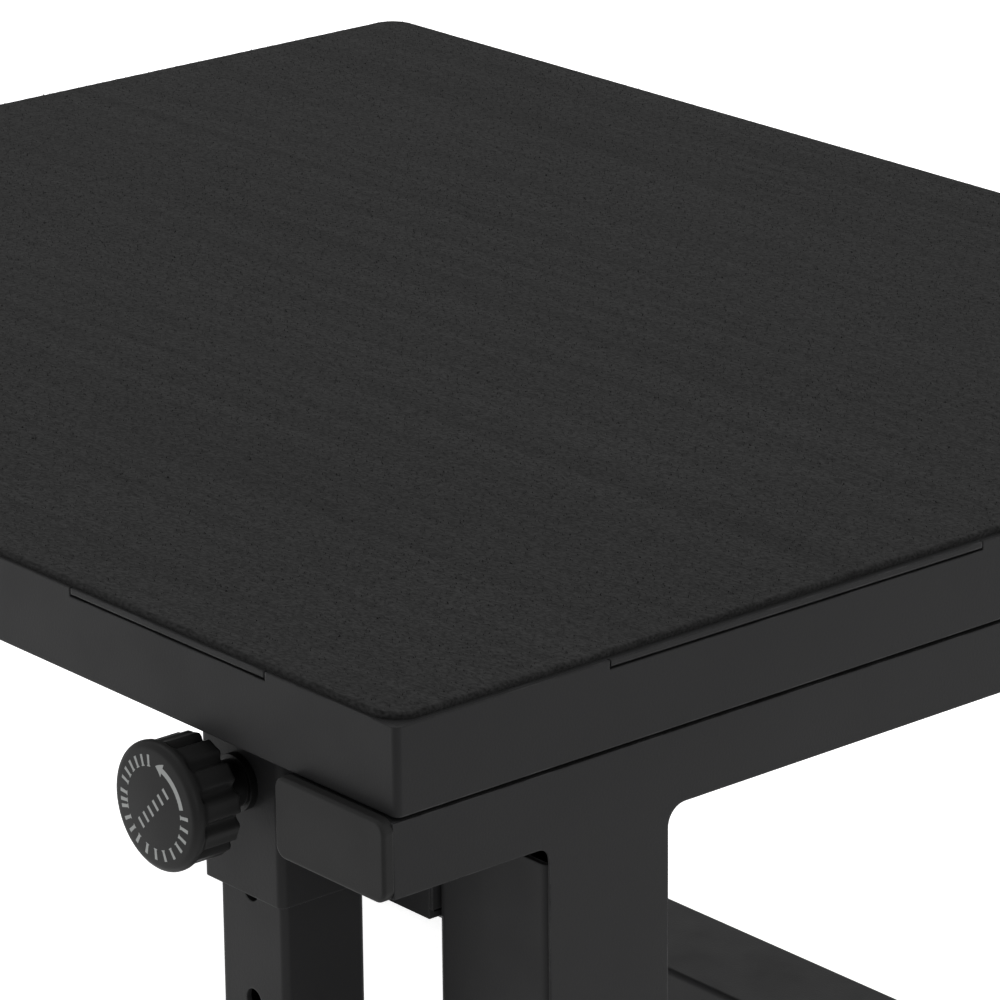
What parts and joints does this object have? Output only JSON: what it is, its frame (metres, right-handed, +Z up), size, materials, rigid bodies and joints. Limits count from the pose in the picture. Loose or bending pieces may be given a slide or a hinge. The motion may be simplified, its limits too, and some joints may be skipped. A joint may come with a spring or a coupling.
{
  "type": "adjustable platform bench",
  "caption": "Low steel bench with a carpeted rectangular deck on four sliding posts, raised in steps and held by spring pull-pins with fluted knobs.",
  "frame": {"origin": "centre of the footprint on the floor", "axes": "+X along the short side of the deck, +Y along the long side, +Z up"},
  "size_m": [0.7164, 0.827, 0.4497],
  "materials": {
    "black_powder_coat": "fine satin powder coat",
    "cap_plastic": "fine grained",
    "bright_steel": "turned",
    "spring_steel": "drawn wire",
    "knob_plastic": "satin",
    "knob_face_plastic": "satin with light printed marks",
    "pad_rubber": "matt",
    "carpet_pile": "short needle-punched pile"
  },
  "bodies": {
    "base": {"side_plate_near": "black_powder_coat", "side_plate_far": "black_powder_coat", "rail_near": "black_powder_coat", "rail_far": "black_powder_coat", "runner_left": "black_powder_coat", "runner_right": "black_powder_coat", "runner_caps": "cap_plastic", "floor_pads": "pad_rubber", "rail_cap_nl": "cap_plastic", "rail_cap_nr": "cap_plastic", "rail_cap_fl": "cap_plastic", "rail_cap_fr": "cap_plastic", "leg_nl": "black_powder_coat", "leg_nr": "black_powder_coat", "leg_fl": "black_powder_coat", "leg_fr": "black_powder_coat", "back_plate_nl": "black_powder_coat", "back_plate_nr": "black_powder_coat", "back_plate_fl": "black_powder_coat", "back_plate_fr": "black_powder_coat", "arm_nl": "black_powder_coat", "arm_nr": "black_powder_coat", "arm_fl": "black_powder_coat", "arm_fr": "black_powder_coat", "sleeve_nl": "black_powder_coat", "sleeve_nr": "black_powder_coat", "sleeve_fl": "black_powder_coat", "sleeve_fr": "black_powder_coat", "barrel_nl": "black_powder_coat", "barrel_nr": "black_powder_coat", "barrel_fl": "black_powder_coat", "barrel_fr": "black_powder_coat"},
    "deck": {"apron_tray": "black_powder_coat", "top_plate": "black_powder_coat", "carpet": "carpet_pile", "deck_ribs": "black_powder_coat", "post_plugs": "cap_plastic", "post_nl": "black_powder_coat", "post_nr": "black_powder_coat", "post_fl": "black_powder_coat", "post_fr": "black_powder_coat"},
    "plunger_nl": {"pin_nl": "bright_steel", "spring_nl": "spring_steel"},
    "hand_knob_nl": {"knob_nl": "knob_plastic", "knob_disc_nl": "knob_face_plastic"},
    "plunger_nr": {"pin_nr": "bright_steel", "spring_nr": "spring_steel"},
    "hand_knob_nr": {"knob_nr": "knob_plastic", "knob_disc_nr": "knob_face_plastic"},
    "plunger_fl": {"pin_fl": "bright_steel", "spring_fl": "spring_steel"},
    "hand_knob_fl": {"knob_fl": "knob_plastic", "knob_disc_fl": "knob_face_plastic"},
    "plunger_fr": {"pin_fr": "bright_steel", "spring_fr": "spring_steel"},
    "hand_knob_fr": {"knob_fr": "knob_plastic", "knob_disc_fr": "knob_face_plastic"}
  },
  "joints": [
    {"name": "deck_lift", "type": "slide", "parent": "base", "child": "deck", "axis": [0, 0, 1], "range_m": [0, 0.194]},
    {"name": "pin_pull_nl", "type": "slide", "parent": "base", "child": "plunger_nl", "axis": [-1, 0, 0], "range_m": [0, 0.007], "stiffness_N_per_m": 1200, "deforming": ["spring_nl"]},
    {"name": "knob_turn_nl", "type": "hinge", "parent": "plunger_nl", "child": "hand_knob_nl", "pos_m": [-0.34, -0.2835, 0.3793], "axis": [-1, 0, 0], "range_deg": [0, 360]},
    {"name": "pin_pull_nr", "type": "slide", "parent": "base", "child": "plunger_nr", "axis": [1, 0, 0], "range_m": [0, 0.007], "stiffness_N_per_m": 1200, "deforming": ["spring_nr"]},
    {"name": "knob_turn_nr", "type": "hinge", "parent": "plunger_nr", "child": "hand_knob_nr", "pos_m": [0.34, -0.2835, 0.3793], "axis": [1, 0, 0], "range_deg": [0, 360]},
    {"name": "pin_pull_fl", "type": "slide", "parent": "base", "child": "plunger_fl", "axis": [-1, 0, 0], "range_m": [0, 0.007], "stiffness_N_per_m": 1200, "deforming": ["spring_fl"]},
    {"name": "knob_turn_fl", "type": "hinge", "parent": "plunger_fl", "child": "hand_knob_fl", "pos_m": [-0.34, 0.2835, 0.3793], "axis": [-1, 0, 0], "range_deg": [0, 360]},
    {"name": "pin_pull_fr", "type": "slide", "parent": "base", "child": "plunger_fr", "axis": [1, 0, 0], "range_m": [0, 0.007], "stiffness_N_per_m": 1200, "deforming": ["spring_fr"]},
    {"name": "knob_turn_fr", "type": "hinge", "parent": "plunger_fr", "child": "hand_knob_fr", "pos_m": [0.34, 0.2835, 0.3793], "axis": [1, 0, 0], "range_deg": [0, 360]}
  ]
}
